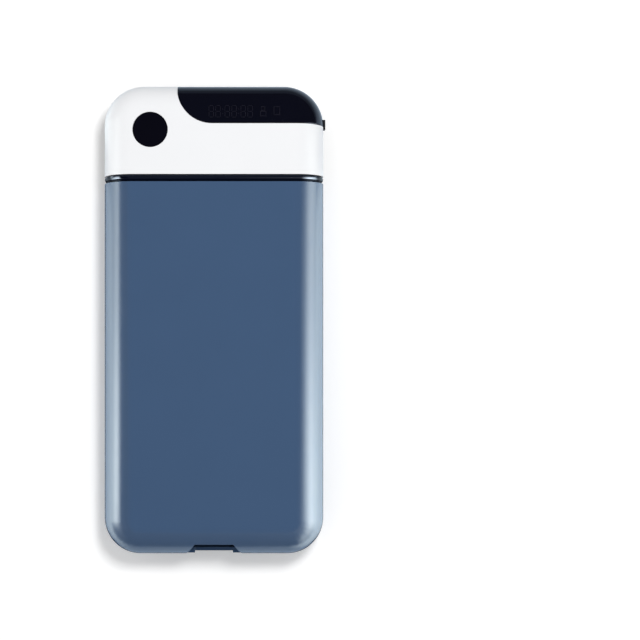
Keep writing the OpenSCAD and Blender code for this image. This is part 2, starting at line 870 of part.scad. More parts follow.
module hub(z0, z1) {
    translate([0, 0, z0]) linear_extrude(z1 - z0) difference() {
        circle(d = hub_d);
        circle(d = axle_d + 2 * axle_gap);
    }
}

module output_gear() color("ivory") {
    translate([output_xy[0], output_xy[1], 0]) {
        hub(plate_top_z + 0.1, output_wheel_z);
        toothed(output_wheel_n, output_turn, output_wheel_z, wheel_t);
        toothed(output_pinion_n, output_turn, output_pinion_z, top_plate_z - 0.1 - output_pinion_z);
    }
}

module idler_gear() color("ivory") {
    pinion_z = idler_wheel_z + wheel_t;
    pinion_top_z = output_pinion_z + 0.4;
    translate([idler_xy[0], idler_xy[1], 0]) {
        hub(plate_top_z + 0.1, idler_wheel_z);
        toothed(idler_wheel_n, idler_turn, idler_wheel_z, wheel_t);
        toothed(idler_pinion_n, idler_turn, pinion_z, pinion_top_z - pinion_z);
        hub(pinion_top_z, top_plate_z - 0.1);
    }
}

module motor_pinion() color("goldenrod") {
    translate([motor_xy[0], motor_xy[1], plate_top_z + 0.2])
        linear_extrude(wheel_t + 0.4) difference() {
            gear_outline(motor_pinion_n, motor_turn);
            circle(d = motor_shaft_d + 0.04);
        }
}

module motor_shaft() color("silver") {
    translate([motor_xy[0], motor_xy[1], plate_top_z + 0.2])
        cylinder(h = motor_z + 2 - plate_top_z - 0.2, d = motor_shaft_d);
}

// Section of the motor: a round can with two flats
module motor_section(grow) {
    intersection() {
        circle(d = motor_d + 2 * grow);
        square([motor_d + 2 * grow + past, motor_flats + 2 * grow], center = true);
    }
}

module motor_can() color("silver") {
    translate([motor_xy[0], motor_xy[1], motor_z]) difference() {
        linear_extrude(motor_l) motor_section(0);
        translate([0, 0, -past]) cylinder(h = 2.3 + past, d = motor_shaft_d + 0.2);
    }
}

module motor_end_cap() color("black") {
    translate([motor_xy[0], motor_xy[1], motor_z + motor_l])
        linear_extrude(motor_cap_t) motor_section(-0.3);
}

module motor_leads() color("red") {
    z0 = motor_z + motor_l + motor_cap_t;
    for (side = [-1, 1])
        translate([motor_xy[0] + side * 3, motor_xy[1], z0]) cylinder(h = board_z - z0, d = motor_lead_d);
}

module gear_axles() color("silver") {
    for (p = [output_xy, idler_xy])
        translate([p[0], p[1], plate_z]) cylinder(h = top_plate_z + plate_t - plate_z, d = axle_d);
}

module plate_outline() {
    translate([plate_x0, plate_y0]) square([plate_x1 - plate_x0, plate_y1 - plate_y0]);
}

module lock_base_plate() color("gray") {
    difference() {
        union() {
            translate([0, 0, plate_z]) linear_extrude(plate_t) plate_outline();
            for (g = guide_xs)
                translate([g[0], plate_y0, plate_z]) cube([g[1], guide_l, top_plate_z - plate_z]);
            for (p = pillar_xy)
                translate([p[0], p[1], plate_z]) cylinder(h = top_plate_z - plate_z, d = pillar_d);
        }
        // Channel for the bolt through both guides
        translate([plate_x0 - past, bolt_y - bolt_gap, bolt_z - bolt_gap])
            cube([plate_x1 - plate_x0 + 2 * past, bolt_w + 2 * bolt_gap, bolt_t + 2 * bolt_gap + past]);
        for (p = pillar_xy)
            translate([p[0], p[1], top_plate_z - screw_bore_l])
                cylinder(h = screw_bore_l + past, d = screw_d + 2 * bore_gap);
        for (p = stake_xy)
            translate([p[0], p[1], 0]) cylinder(h = body_t / 4, d = stake_d + 2 * bore_gap);
        for (p = [output_xy, idler_xy])
            translate([p[0], p[1], 0]) cylinder(h = body_t / 4, d = axle_d + 0.02);
    }
}

module lock_top_plate() color("gray") {
    collar_wall = 0.9;
    collar_l = 3;
    fit = 0.1;
    difference() {
        union() {
            translate([0, 0, top_plate_z]) linear_extrude(plate_t) plate_outline();
            translate([motor_xy[0], motor_xy[1], top_plate_z - collar_l])
                cylinder(h = collar_l + plate_t, d = motor_d + 2 * fit + 2 * collar_wall);
        }
        translate([motor_xy[0], motor_xy[1], top_plate_z - collar_l - past])
            linear_extrude(collar_l + plate_t + 2 * past) motor_section(fit);
        for (p = pillar_xy)
            translate([p[0], p[1], top_plate_z - past]) cylinder(h = plate_t + 2 * past, d = screw_d + 0.2);
        for (p = [output_xy, idler_xy])
            translate([p[0], p[1], top_plate_z - past]) cylinder(h = plate_t + 2 * past, d = axle_d + 0.02);
    }
}

module lock_plate_screws() color("silver") {
    for (p = pillar_xy) translate([p[0], p[1], top_plate_z + plate_t]) screw(lock_screw_l);
}

// Sliding bolt with a rack on its upper side
module lock_bolt() color("silver") {
    first = -ceil((bolt_travel + output_r) / tooth_pitch);
    tail_x = plate_x0 - bolt_travel;
    root_y = bolt_y + bolt_w;
    flank = tan(pressure_angle);
    half = tooth_pitch / 4 - backlash / 4;
    root_half = half + dedendum * flank;
    tip_half = half - addendum * flank;
    points = [for (i = [first:1])
        let (x = output_xy[0] + tooth_pitch * (i + 0.5))
        each [[x - root_half, root_y], [x - tip_half, root_y + dedendum + addendum],
            [x + tip_half, root_y + dedendum + addendum], [x + root_half, root_y]]];
    translate([0, 0, bolt_z]) linear_extrude(bolt_t) polygon(concat(
        [[tail_x, bolt_y], [tail_x, root_y]], points,
        [[bolt_tip_x, root_y], [bolt_tip_x, bolt_y + 0.5], [bolt_tip_x - 0.5, bolt_y]]));
}

sleeve_front_shell();
sleeve_back_shell();
tray();
neck_plate();
neck_screws();
head_front_cover();
head_back_cover();
display_window();
display_panel();
display_frame();
main_board();
board_chips();
board_screws();
timer_button();
button_switch_body();
button_switch_plunger();
slide_switch_body();
slide_switch_knob();
usb_socket_shell();
usb_socket_tongue();
battery_cell();
battery_leads();
lock_base_plate();
lock_top_plate();
lock_plate_screws();
gear_axles();
output_gear();
idler_gear();
motor_pinion();
motor_shaft();
motor_can();
motor_end_cap();
motor_leads();
lock_bolt();
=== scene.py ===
import math

import bmesh
import bpy
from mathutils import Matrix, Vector


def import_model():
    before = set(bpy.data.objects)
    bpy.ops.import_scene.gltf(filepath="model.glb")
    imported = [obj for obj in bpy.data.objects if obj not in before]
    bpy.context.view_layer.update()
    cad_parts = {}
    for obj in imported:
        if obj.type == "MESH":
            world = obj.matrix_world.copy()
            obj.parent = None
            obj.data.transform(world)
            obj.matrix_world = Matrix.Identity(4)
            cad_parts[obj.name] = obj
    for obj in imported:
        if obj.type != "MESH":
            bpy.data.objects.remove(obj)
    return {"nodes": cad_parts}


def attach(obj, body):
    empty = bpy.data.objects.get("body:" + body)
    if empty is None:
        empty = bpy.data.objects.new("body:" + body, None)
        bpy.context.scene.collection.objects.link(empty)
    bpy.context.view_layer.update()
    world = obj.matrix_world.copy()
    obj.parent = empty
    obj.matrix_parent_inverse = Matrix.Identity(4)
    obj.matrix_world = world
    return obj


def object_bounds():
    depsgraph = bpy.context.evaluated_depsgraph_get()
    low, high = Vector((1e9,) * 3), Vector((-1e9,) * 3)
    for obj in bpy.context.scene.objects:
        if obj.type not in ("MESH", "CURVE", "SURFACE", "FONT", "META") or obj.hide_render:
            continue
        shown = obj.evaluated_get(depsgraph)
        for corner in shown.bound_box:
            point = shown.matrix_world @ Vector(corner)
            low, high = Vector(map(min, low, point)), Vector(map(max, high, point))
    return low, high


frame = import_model()
CAD_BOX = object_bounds()
nodes = frame["nodes"]
MM = 0.001

# ---------- camera ----------

PICTURE_PX = 640
FOCAL_PX = 1141.7
OBJECT_PX = 214
SENSOR_MM = 36
BODY_T = CAD_BOX[1].z
CAMERA_ABOVE = 0.5
CLIP_NEAR, CLIP_FAR = 0.01, 20

cam_data = bpy.data.cameras.new("camera")
cam_data.sensor_width = SENSOR_MM
cam_data.lens = SENSOR_MM * FOCAL_PX / PICTURE_PX
cam_data.shift_x = 0.5 - OBJECT_PX / PICTURE_PX
cam_data.clip_start = CLIP_NEAR
cam_data.clip_end = CLIP_FAR
camera = bpy.data.objects.new("camera", cam_data)
camera.location = (0, 0, BODY_T + CAMERA_ABOVE)
bpy.context.scene.collection.objects.link(camera)
bpy.context.scene.camera = camera
bpy.context.scene.view_settings.view_transform = "Standard"


# ---------- node helpers ----------
# ns and ln are a tree's nodes and links, and the helpers give back output sockets.

PURE_WHITE = (1, 1, 1, 1)
NOISE_LOW, NOISE_HIGH = 0.3, 0.7


def srgb(r, g, b):
    """A colour given as it shows on the screen, 0 to 255, as linear RGBA."""
    def one(c):
        c /= 255
        return c / 12.92 if c <= 0.04045 else ((c + 0.055) / 1.055) ** 2.4
    return (one(r), one(g), one(b), 1)


def new_material(name):
    m = bpy.data.materials.new(name)
    m.use_nodes = True
    m.node_tree.nodes.clear()
    return m, m.node_tree.nodes, m.node_tree.links


def coordinate(ns, output="Object"):
    return ns.new("ShaderNodeTexCoord").outputs[output]


def split(ns, ln, vector):
    node = ns.new("ShaderNodeSeparateXYZ")
    ln.new(vector, node.inputs[0])
    return node.outputs


def light_path(ns):
    return ns.new("ShaderNodeLightPath").outputs


def maths(ns, ln, operation, a, b):
    n = ns.new("ShaderNodeMath")
    n.operation = operation
    for socket, value in zip(n.inputs, (a, b)):
        if isinstance(value, (int, float)):
            socket.default_value = value
        else:
            ln.new(value, socket)
    return n.outputs[0]


def times(ns, ln, a, b):
    return maths(ns, ln, "MULTIPLY", a, b)


def one_minus(ns, ln, value):
    return maths(ns, ln, "SUBTRACT", 1, value)


def scaled(ns, ln, colour, level):
    n = ns.new("ShaderNodeVectorMath")
    n.operation = "SCALE"
    ln.new(colour, n.inputs["Vector"])
    ln.new(level, n.inputs["Scale"])
    return n.outputs["Vector"]


def noise(ns, ln, place, scale, detail):
    n = ns.new("ShaderNodeTexNoise")
    n.inputs["Scale"].default_value = scale
    n.inputs["Detail"].default_value = detail
    ln.new(place, n.inputs["Vector"])
    return n.outputs["Fac"]


def mapped(ns, ln, value, low, high):
    """The range of a noise, as a value from low to high."""
    n = ns.new("ShaderNodeMapRange")
    n.inputs["From Min"].default_value = NOISE_LOW
    n.inputs["From Max"].default_value = NOISE_HIGH
    n.inputs["To Min"].default_value = low
    n.inputs["To Max"].default_value = high
    ln.new(value, n.inputs["Value"])
    return n.outputs["Result"]


def two_tone(ns, ln, value, colour, spread):
    """A colour that varies by spread, a share of its strength, with a noise."""
    node = ns.new("ShaderNodeValToRGB")
    dark, light = node.color_ramp.elements
    dark.position, light.position = NOISE_LOW, NOISE_HIGH
    dark.color = [c * (1 - spread) for c in colour[:3]] + [1]
    light.color = [min(1, c * (1 + spread)) for c in colour[:3]] + [1]
    ln.new(value, node.inputs["Fac"])
    return node.outputs["Color"]


def ramp(ns, ln, value, points):
    """A curve through points (value, level), as a map range and a colour ramp."""
    first, last = points[0][0], points[-1][0]
    top = max(level for _, level in points)
    spread = ns.new("ShaderNodeMapRange")
    spread.inputs["From Min"].default_value = first
    spread.inputs["From Max"].default_value = last
    ln.new(value, spread.inputs["Value"])
    node = ns.new("ShaderNodeValToRGB")
    stops = node.color_ramp.elements
    for at, level in points:
        if at in (first, last):
            stop = stops[0 if at == first else -1]
        else:
            stop = stops.new((at - first) / (last - first))
        stop.color = (level / top, level / top, level / top, 1)
    ln.new(spread.outputs["Result"], node.inputs["Fac"])
    return times(ns, ln, node.outputs["Color"], top)


def emission(ns, ln, colour, strength):
    glow = ns.new("ShaderNodeEmission")
    glow.inputs["Color"].default_value = colour
    ln.new(strength, glow.inputs["Strength"])
    return glow.outputs["Emission"]


def added(ns, ln, a, b):
    both = ns.new("ShaderNodeAddShader")
    ln.new(a, both.inputs[0])
    ln.new(b, both.inputs[1])
    return both.outputs["Shader"]


def mixed(ns, ln, factor, a, b):
    node = ns.new("ShaderNodeMixShader")
    ln.new(factor, node.inputs["Fac"])
    ln.new(a, node.inputs[1])
    ln.new(b, node.inputs[2])
    return node.outputs[0]


def surface(ns, ln, shader):
    ln.new(shader, ns.new("ShaderNodeOutputMaterial").inputs["Surface"])


# ---------- plastics and metals ----------

GRAIN_DEPTH = 0.0001
DRIFT_SCALE, GLOSS_SCALE = 45, 160
METAL_DRIFT_SCALE = 300
METAL_SPREAD = 0.08
METAL_GRAIN = 0.08


def grained(ns, ln, shader, height, strength):
    """Gives a shader its surface relief and puts it on the material."""
    bump = ns.new("ShaderNodeBump")
    bump.inputs["Strength"].default_value = strength
    bump.inputs["Distance"].default_value = GRAIN_DEPTH
    ln.new(height, bump.inputs["Height"])
    ln.new(bump.outputs["Normal"], shader.inputs["Normal"])
    surface(ns, ln, shader.outputs["BSDF"])


def less_bounce(ns, ln, colour, share):
    """The colour, of which only a share shows in the light that is thrown on to other things."""
    loss = times(ns, ln, light_path(ns)["Is Diffuse Ray"], 1 - share)
    return scaled(ns, ln, colour, one_minus(ns, ln, loss))


def plastic(name, colour, rough, spread, grain, grain_scale=900, specular=0.5,
            shine=PURE_WHITE, bounce=1):
    """Moulded plastic: slight colour drift, uneven gloss and a fine spark-eroded grain.

    Shine tints what it reflects, and bounce is the share of its colour that it throws on."""
    m, ns, ln = new_material(name)
    shader = ns.new("ShaderNodeBsdfPrincipled")
    place = coordinate(ns)
    tone = two_tone(ns, ln, noise(ns, ln, place, DRIFT_SCALE, 3), colour, spread)
    if bounce < 1:
        tone = less_bounce(ns, ln, tone, bounce)
    ln.new(tone, shader.inputs["Base Color"])
    gloss = noise(ns, ln, place, GLOSS_SCALE, 4)
    ln.new(mapped(ns, ln, gloss, *rough), shader.inputs["Roughness"])
    shader.inputs["Specular IOR Level"].default_value = specular
    shader.inputs["Specular Tint"].default_value = shine
    grained(ns, ln, shader, noise(ns, ln, place, grain_scale, 1), grain)
    return m


def metal(name, colour, rough, streak=(1, 1, 1), streak_scale=400):
    """Metal with streaks of wear along one direction."""
    m, ns, ln = new_material(name)
    shader = ns.new("ShaderNodeBsdfPrincipled")
    place = coordinate(ns)
    stretch = ns.new("ShaderNodeMapping")
    stretch.inputs["Scale"].default_value = streak
    ln.new(place, stretch.inputs["Vector"])
    lines = noise(ns, ln, stretch.outputs["Vector"], streak_scale, 4)
    drift = noise(ns, ln, place, METAL_DRIFT_SCALE, 3)
    shader.inputs["Metallic"].default_value = 1
    ln.new(two_tone(ns, ln, drift, colour, METAL_SPREAD), shader.inputs["Base Color"])
    ln.new(mapped(ns, ln, lines, *rough), shader.inputs["Roughness"])
    grained(ns, ln, shader, lines, METAL_GRAIN)
    return m


def gloss_by_place(material, output, axis, points):
    """Lets the gloss of a material follow a curve of its index of refraction.

    The curve runs over one axis of a texture coordinate."""
    ns, ln = material.node_tree.nodes, material.node_tree.links
    value = split(ns, ln, coordinate(ns, output))[axis]
    shader = next(n for n in ns if n.type == "BSDF_PRINCIPLED")
    ln.new(ramp(ns, ln, value, points), shader.inputs["IOR"])


# ---------- materials ----------
# Each plastic: colour, roughness from and to, colour spread, grain.

BLUE = srgb(66, 89, 120)
WHITE = srgb(243, 244, 246)
NAVY = srgb(9, 13, 28)

MATERIALS = {
    "blue": plastic("sleeve_blue_plastic", BLUE, (0.22, 0.27), 0.012, 0.0, specular=0.9),
    "white": plastic("head_white_plastic", WHITE, (0.3, 0.38), 0.006, 0.02, specular=0.35,
                     bounce=0.15),
    "neck": plastic("neck_gloss_navy", NAVY, (0.08, 0.12), 0.06, 0.01, specular=0.2,
                    shine=(0.7, 0.8, 1, 1)),
    "band": plastic("neck_band_gloss_navy", NAVY, (0.05, 0.07), 0.06, 0.0, specular=1.0,
                    shine=(0.78, 0.84, 1, 1)),
    "window": plastic("window_smoked_black", srgb(8, 9, 20), (0.04, 0.07), 0.05, 0.004,
                      shine=(0.8, 0.8, 1, 1)),
    "button": plastic("button_black", srgb(10, 10, 19), (0.3, 0.4), 0.08, 0.03, specular=0.3),
    "knob": plastic("knob_black", srgb(14, 15, 22), (0.35, 0.45), 0.08, 0.05),
    "tray": plastic("tray_navy_plastic", srgb(30, 37, 58), (0.4, 0.5), 0.04, 0.06),
    "display": plastic("display_glass", srgb(12, 14, 24), (0.05, 0.1), 0.06, 0.004),
    "ghost": plastic("display_unlit_dots", srgb(44, 43, 52), (0.05, 0.09), 0.1, 0.01),
    "grey": plastic("moulded_grey", srgb(96, 98, 104), (0.4, 0.55), 0.06, 0.06),
    "board": plastic("board_green", srgb(20, 82, 52), (0.25, 0.45), 0.15, 0.08),
    "chip": plastic("chip_black", srgb(28, 28, 30), (0.45, 0.6), 0.1, 0.1),
    "ivory": plastic("gear_acetal", srgb(232, 228, 214), (0.35, 0.45), 0.03, 0.04),
    "lead": plastic("lead_red", srgb(176, 28, 26), (0.3, 0.4), 0.08, 0.04),
    "foil": plastic("battery_foil", srgb(176, 180, 186), (0.25, 0.45), 0.05, 0.2, 500),
    "plate": plastic("lock_plate_grey", srgb(70, 73, 80), (0.4, 0.5), 0.06, 0.06),
    "steel": metal("screw_steel", srgb(176, 176, 180), (0.25, 0.4)),
    "bolt": metal("bolt_steel", srgb(188, 190, 194), (0.18, 0.34), (0.06, 1, 1), 900),
    "can": metal("motor_can_steel", srgb(170, 172, 176), (0.2, 0.36), (1, 1, 0.1), 700),
    "brass": metal("pinion_brass", srgb(206, 170, 92), (0.22, 0.38)),
}

# The flat faces of the sleeve and the button are satin, and their rounded sides glossy
FLAT_FROM, ROUND_TO = 0.999, 0.985
GLOSSY, SATIN, BUTTON_SATIN = 1.5, 1.04, 1.08
gloss_by_place(MATERIALS["blue"], "Normal", "Z",
               [(-1, SATIN), (-FLAT_FROM, SATIN), (-ROUND_TO, GLOSSY), (ROUND_TO, GLOSSY),
                (FLAT_FROM, SATIN), (1, SATIN)])
gloss_by_place(MATERIALS["button"], "Normal", "Z",
               [(-1, GLOSSY), (ROUND_TO, GLOSSY), (FLAT_FROM, BUTTON_SATIN), (1, BUTTON_SATIN)])

# The neck shines between its shoulders and is duller on its outermost sides
NECK_SIDE, SHOULDER_OUT, SHOULDER_IN = 0.049, 0.0458, 0.0446
for name, low, high in (("band", 1.15, 1.75), ("neck", 1.15, 1.4)):
    gloss_by_place(MATERIALS[name], "Object", "X",
                   [(-NECK_SIDE, low), (-SHOULDER_OUT, low), (-SHOULDER_IN, high),
                    (SHOULDER_IN, high), (SHOULDER_OUT, low), (NECK_SIDE, low)])

FINISH = {
    "sleeve_front_shell": "blue", "sleeve_back_shell": "blue", "tray": "tray",
    "neck_plate": "neck", "neck_screws": "steel", "head_front_cover": "white",
    "head_back_cover": "white", "display_window": "window", "display_panel": "display",
    "display_frame": "grey", "main_board": "board", "board_chips": "chip",
    "board_screws": "steel", "timer_button": "button", "button_switch_body": "grey",
    "button_switch_plunger": "chip", "slide_switch_body": "steel",
    "slide_switch_knob": "knob", "usb_socket_shell": "steel", "usb_socket_tongue": "chip",
    "battery_cell": "foil", "battery_leads": "lead", "lock_base_plate": "plate",
    "lock_top_plate": "plate", "lock_plate_screws": "steel", "gear_axles": "steel",
    "output_gear": "ivory", "idler_gear": "ivory", "motor_pinion": "brass",
    "motor_shaft": "steel", "motor_can": "can", "motor_end_cap": "chip",
    "motor_leads": "lead", "lock_bolt": "bolt",
}
for name, obj in nodes.items():
    obj.data.materials.clear()
    obj.data.materials.append(MATERIALS[FINISH[name]])


def drawer_piece(mesh, name, material):
    """Makes a bmesh a piece that rides on the drawer."""
    data = bpy.data.meshes.new(name)
    mesh.to_mesh(data)
    mesh.free()
    data.materials.append(MATERIALS[material])
    obj = bpy.data.objects.new(name, data)
    bpy.context.scene.collection.objects.link(obj)
    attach(obj, "drawer")


# ---------- unlit dots of the display ----------

DOT_R = 0.13 * MM
DOT_SIDES = 8
DOT_PITCH = 0.5 * MM
DOT_DEPTH = 0.05 * MM
LENS_SKIN = 0.0002 * MM
DIGITS, DIGIT_COLUMNS, DIGIT_ROWS = 6, 5, 11
COLON_AFTER, COLON_ROWS = (1, 3), (3, 7)
DISPLAY_X, DISPLAY_Y = -2.2 * MM, 88.9 * MM
# The padlock's body, its shackle and the battery: left and foot in mm, columns and rows
SIGNS = [(20.3, 89.4, 6, 5), (20.8, 91.9, 4, 4), (26.3, 89.9, 6, 8)]


def digit_dots(x, y):
    """The dots of an eight, all of whose segments are off."""
    for column in range(DIGIT_COLUMNS):
        for row in range(DIGIT_ROWS):
            side = column in (0, DIGIT_COLUMNS - 1)
            bar = row in (0, DIGIT_ROWS // 2, DIGIT_ROWS - 1)
            if side != bar:
                yield x + column * DOT_PITCH, y + row * DOT_PITCH


def colon_dots(x, y):
    for row in COLON_ROWS:
        yield x, y + row * DOT_PITCH


def outline_dots(x, y, columns, rows):
    for column in range(columns):
        for row in range(rows):
            if column in (0, columns - 1) or row in (0, rows - 1):
                yield x + column * DOT_PITCH, y + row * DOT_PITCH


def dots_piece(name, places):
    """Flat round dots let into the lens, one mesh."""
    mesh = bmesh.new()
    for x, y in places:
        foot, top = ([mesh.verts.new((x + DOT_R * math.cos(a), y + DOT_R * math.sin(a), z))
                      for a in (math.tau * i / DOT_SIDES for i in range(DOT_SIDES))]
                     for z in (BODY_T - DOT_DEPTH, BODY_T + LENS_SKIN))
        mesh.faces.new(top)
        mesh.faces.new(reversed(foot))
        for i in range(DOT_SIDES):
            j = (i + 1) % DOT_SIDES
            mesh.faces.new((foot[i], foot[j], top[j], top[i]))
    drawer_piece(mesh, name, "ghost")


def display_marks():
    places = []
    x = DISPLAY_X
    for digit in range(DIGITS):
        places += digit_dots(x, DISPLAY_Y)
        x += (DIGIT_COLUMNS + 1) * DOT_PITCH
        if digit in COLON_AFTER:
            places += colon_dots(x, DISPLAY_Y)
            x += 2 * DOT_PITCH
    dots_piece("display_unlit_digits", places)
    dots_piece("display_unlit_signs",
               [dot for left, foot, columns, rows in SIGNS
                for dot in outline_dots(left * MM, foot * MM, columns, rows)])


display_marks()


# ---------- gloss band of the neck ----------

BAND_TAIL_Y, BAND_HEAD_Y = 61.9 * MM, 63.6 * MM
BAND_ROOT = 0.45 * MM
BAND_CREST = 0.05 * MM
EDGE_R = 13 * MM
EDGE_CENTRE_X = 36 * MM
EDGE_STEPS, ARC_STEPS = 48, 12


def stadium(inset, y):
    """Points of the body's cross-section, which is round on both sides, set in by inset."""
    radius = EDGE_R - inset
    for side in (1, -1):
        for i in range(EDGE_STEPS + 1):
            a = side * math.pi / 2 - math.pi * i / EDGE_STEPS
            yield (side * EDGE_CENTRE_X + radius * math.cos(a), y, EDGE_R + radius * math.sin(a))


def neck_band():
    """Rounded lip round the neck: half an ellipse on a flat root."""
    middle = (BAND_TAIL_Y + BAND_HEAD_Y) / 2
    reach = (BAND_HEAD_Y - BAND_TAIL_Y) / 2
    rise = BAND_ROOT - BAND_CREST
    mesh = bmesh.new()
    loops = []
    for a in (math.pi * i / ARC_STEPS for i in range(ARC_STEPS + 1)):
        loop = stadium(BAND_ROOT - rise * math.sin(a), middle - reach * math.cos(a))
        loops.append([mesh.verts.new(p) for p in loop])
    for loop, after in zip(loops, loops[1:] + loops[:1]):
        for i in range(len(loop)):
            j = (i + 1) % len(loop)
            mesh.faces.new((loop[i], loop[j], after[j], after[i]))
    bmesh.ops.recalc_face_normals(mesh, faces=mesh.faces)
    for face in mesh.faces:
        face.smooth = True
    drawer_piece(mesh, "neck_gloss_band", "band")


neck_band()


# ---------- rounded edges ----------

WELD_GAP = 0.000002
BEVEL_SEGMENTS = 3
BEVEL_FROM = math.radians(35)
ROUNDING_MM = {
    "head_front_cover": 0.35, "head_back_cover": 0.3, "timer_button": 0.3,
    "sleeve_front_shell": 0.25, "sleeve_back_shell": 0.2, "neck_plate": 0.5,
    "display_window": 0.1, "slide_switch_knob": 0.15, "tray": 0.25,
}


def soften(name, width):
    """Rounds the sharp edges of a CAD node, which a mould never leaves."""
    weld = nodes[name].modifiers.new("weld", "WELD")
    weld.merge_threshold = WELD_GAP
    bevel = nodes[name].modifiers.new("rounding", "BEVEL")
    bevel.width = width * MM
    bevel.segments = BEVEL_SEGMENTS
    bevel.limit_method = "ANGLE"
    bevel.angle_limit = BEVEL_FROM
    shading = nodes[name].modifiers.new("face_normals", "WEIGHTED_NORMAL")
    shading.keep_sharp = True


for name, width in ROUNDING_MM.items():
    soften(name, width)


# ---------- floor ----------
# The curves here and below are lists of (place in metres, level).

FLOOR_SIZE = 6
FLOOR_DROP = 0.00005
FLOOR_WHITE = (0.97, 0.97, 0.97, 1)
FLOOR_MIRRORED = (0.68, 0.84, 1, 1)
FLOOR_LIFT = [(0, 0.13), (0.3, 0.16), (1.2, 1)]
PAST_HEAD = [(0.1, 0), (0.13, 0.4), (0.17, 0.8)]
UNDER_X = [(-0.062, 0), (-0.0575, 1), (0.0575, 1), (0.062, 0)]
UNDER_Y = [(-0.1175, 0), (-0.113, 1), (0.06, 1), (0.068, 0)]


def sheet(name, corners):
    mesh = bpy.data.meshes.new(name)
    mesh.from_pydata(corners, [], [(0, 1, 2, 3)])
    obj = bpy.data.objects.new(name, mesh)
    bpy.context.scene.collection.objects.link(obj)
    return obj


def floor_level(ns, ln, place, ray):
    """How much light the floor gives back, by what sees it.

    Past the head it gives less to the object. Close to the sleeve it is black in reflections,
    and that draws the sleeve's thin dark outline."""
    thrown_on = maths(ns, ln, "MAXIMUM", ray["Is Glossy Ray"], ray["Is Diffuse Ray"])
    past_head = times(ns, ln, ramp(ns, ln, place["Y"], PAST_HEAD), thrown_on)
    under = maths(ns, ln, "MINIMUM", ramp(ns, ln, place["X"], UNDER_X),
                  ramp(ns, ln, place["Y"], UNDER_Y))
    mirrored_under = times(ns, ln, under, ray["Is Glossy Ray"])
    return times(ns, ln, one_minus(ns, ln, past_head), one_minus(ns, ln, mirrored_under))


def floor():
    """White floor whose shadow shows, bluish in reflections.

    A weak glow of its own, for the camera alone, grows to plain white far away."""
    s, z = FLOOR_SIZE, -FLOOR_DROP
    obj = sheet("floor", [(-s, -s, z), (s, -s, z), (s, s, z), (-s, s, z)])
    m, ns, ln = new_material("floor_white")
    ray = light_path(ns)
    place = coordinate(ns)
    tint = ns.new("ShaderNodeMix")
    tint.data_type = "RGBA"
    tint.inputs["A"].default_value = FLOOR_WHITE
    tint.inputs["B"].default_value = FLOOR_MIRRORED
    ln.new(ray["Is Glossy Ray"], tint.inputs["Factor"])
    level = floor_level(ns, ln, split(ns, ln, place), ray)
    diffuse = ns.new("ShaderNodeBsdfDiffuse")
    ln.new(scaled(ns, ln, tint.outputs["Result"], level), diffuse.inputs["Color"])
    away = ns.new("ShaderNodeVectorMath")
    away.operation = "LENGTH"
    ln.new(place, away.inputs[0])
    lift = ramp(ns, ln, away.outputs["Value"], FLOOR_LIFT)
    glow = emission(ns, ln, PURE_WHITE, times(ns, ln, ray["Is Camera Ray"], lift))
    surface(ns, ln, added(ns, ln, diffuse.outputs["BSDF"], glow))
    obj.data.materials.append(m)


floor()


# ---------- world ----------

AMBIENT = 0.215
SKY_ACROSS = [(-1, 4.2), (0, 0.7), (1, 2.2)]
SKY_ALONG = [(-1, 1.0), (0, 0.7), (1, 0.8)]
ROOM_MIRRORED = (0.8, 0.85, 1, 1)
ROOM_MIRRORED_LEVEL = 0.05


def background(ns, colour, strength):
    node = ns.new("ShaderNodeBackground")
    node.inputs["Color"].default_value = colour
    node.inputs["Strength"].default_value = strength
    return node


def world():
    """White to the camera, dark in reflections, and a soft sky for diffuse light.

    The sky is brightest low on the left, the right and the tail's side."""
    w = bpy.data.worlds.new("studio")
    bpy.context.scene.world = w
    w.use_nodes = True
    w.cycles.sampling_method = "NONE"
    ns, ln = w.node_tree.nodes, w.node_tree.links
    ns.clear()
    ray = light_path(ns)
    direction = split(ns, ln, coordinate(ns, "Generated"))
    sky = maths(ns, ln, "ADD", ramp(ns, ln, direction["X"], SKY_ACROSS),
                ramp(ns, ln, direction["Y"], SKY_ALONG))
    ambient = background(ns, PURE_WHITE, AMBIENT)
    ln.new(times(ns, ln, sky, AMBIENT), ambient.inputs["Strength"])
    seen = background(ns, PURE_WHITE, 1)
    mirrored = background(ns, ROOM_MIRRORED, ROOM_MIRRORED_LEVEL)
    thrown_on = mixed(ns, ln, ray["Is Glossy Ray"], ambient.outputs[0], mirrored.outputs[0])
    looked_at = maths(ns, ln, "MAXIMUM", ray["Is Camera Ray"], ray["Is Transmission Ray"])
    out = ns.new("ShaderNodeOutputWorld")
    ln.new(mixed(ns, ln, looked_at, thrown_on, seen.outputs[0]), out.inputs["Surface"])


world()


# ---------- key lamp ----------

KEY_PLACE = (0.115, 0.18, 0.5)
KEY_SIZE = 0.13
KEY_POWER = 5.3


def key_lamp():
    """Soft lamp close above and to the right, as strong on the tail as on the head.

    From so close by, the shadow lies left of the head and left and down of the tail."""
    data = bpy.data.lights.new("key", "AREA")
    data.shape = "SQUARE"
    data.size = KEY_SIZE
    data.energy = KEY_POWER
    data.use_nodes = True
    ns, ln = data.node_tree.nodes, data.node_tree.links
    ns.clear()
    even = ns.new("ShaderNodeLightFalloff")
    even.inputs["Strength"].default_value = 1
    glow = emission(ns, ln, PURE_WHITE, even.outputs["Constant"])
    ln.new(glow, ns.new("ShaderNodeOutputLight").inputs["Surface"])
    obj = bpy.data.objects.new("key", data)
    obj.location = KEY_PLACE
    obj.rotation_mode = "QUATERNION"
    obj.rotation_quaternion = (-Vector(KEY_PLACE)).to_track_quat("-Z", "Y")
    obj.visible_glossy = False
    obj.visible_camera = False
    bpy.context.scene.collection.objects.link(obj)


key_lamp()


# ---------- cards that the glossy surfaces show ----------

